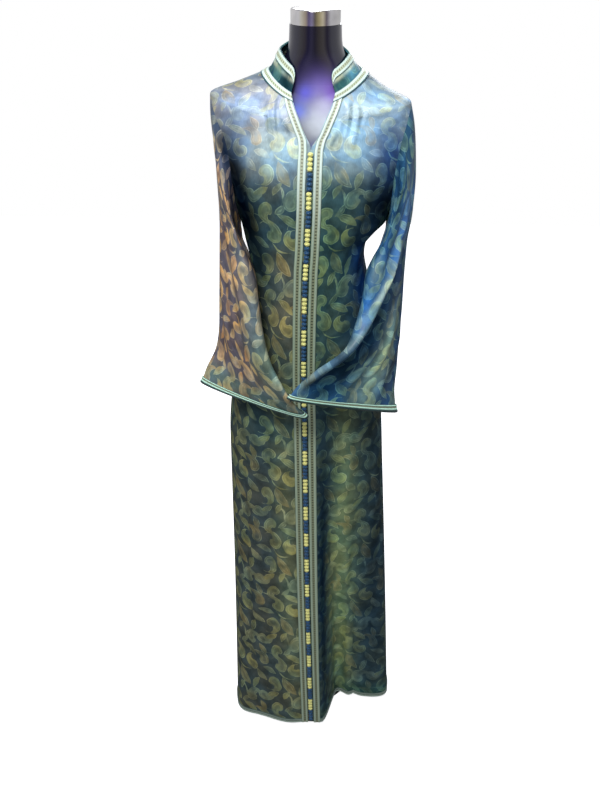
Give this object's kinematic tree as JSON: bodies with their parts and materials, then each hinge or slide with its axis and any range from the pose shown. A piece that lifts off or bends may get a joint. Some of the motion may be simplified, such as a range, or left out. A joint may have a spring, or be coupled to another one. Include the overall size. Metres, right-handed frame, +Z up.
{
  "type": "kaftan on dress form",
  "caption": "Long satin kaftan with a standing collar, V neck, bell sleeves, braid edges and a knotted front closing, worn by a limbless dress form on a round base.",
  "frame": {"origin": "on the floor under the middle of the neck, in the underside of the base", "axes": "+Z up, the front faces -Y, the wearer's left is +X"},
  "size_m": [0.4356, 0.3936, 1.6603],
  "materials": {
    "satin": "shot satin jacquard",
    "braid": "silk braid",
    "knot_yellow": "silk cord",
    "knot_blue": "silk cord",
    "form_gloss": "gloss",
    "form_chrome": "polished",
    "form_steel": "brushed"
  },
  "bodies": {
    "root": {"front_right": "satin", "front_left": "satin", "back": "satin", "sleeve_right": "satin", "sleeve_left": "satin", "collar": "satin", "braid_front_right": "braid", "braid_front_left": "braid", "braid_hem": "braid", "braid_neckline": "braid", "braid_collar": "braid", "braid_cuff_right": "braid", "braid_cuff_left": "braid", "knots_yellow_01": "knot_yellow", "knots_yellow_02": "knot_yellow", "knots_yellow_03": "knot_yellow", "knots_yellow_04": "knot_yellow", "knots_yellow_05": "knot_yellow", "knots_yellow_06": "knot_yellow", "knots_yellow_07": "knot_yellow", "knots_yellow_08": "knot_yellow", "knots_yellow_09": "knot_yellow", "knots_yellow_10": "knot_yellow", "knots_yellow_11": "knot_yellow", "knots_yellow_12": "knot_yellow", "knots_yellow_13": "knot_yellow", "knots_yellow_14": "knot_yellow", "knots_yellow_15": "knot_yellow", "knots_yellow_16": "knot_yellow", "knots_yellow_17": "knot_yellow", "knots_yellow_18": "knot_yellow", "knots_yellow_19": "knot_yellow", "knots_yellow_20": "knot_yellow", "knots_blue_01": "knot_blue", "knots_blue_02": "knot_blue", "knots_blue_03": "knot_blue", "knots_blue_04": "knot_blue", "knots_blue_05": "knot_blue", "knots_blue_06": "knot_blue", "knots_blue_07": "knot_blue", "knots_blue_08": "knot_blue", "knots_blue_09": "knot_blue", "knots_blue_10": "knot_blue", "knots_blue_11": "knot_blue", "knots_blue_12": "knot_blue", "knots_blue_13": "knot_blue", "knots_blue_14": "knot_blue", "knots_blue_15": "knot_blue", "knots_blue_16": "knot_blue", "knots_blue_17": "knot_blue", "knots_blue_18": "knot_blue", "knots_blue_19": "knot_blue", "knots_blue_20": "knot_blue", "form_torso": "form_gloss", "form_neck_cap": "form_chrome", "form_pole": "form_steel", "form_base": "form_steel"}
  },
  "joints": []
}
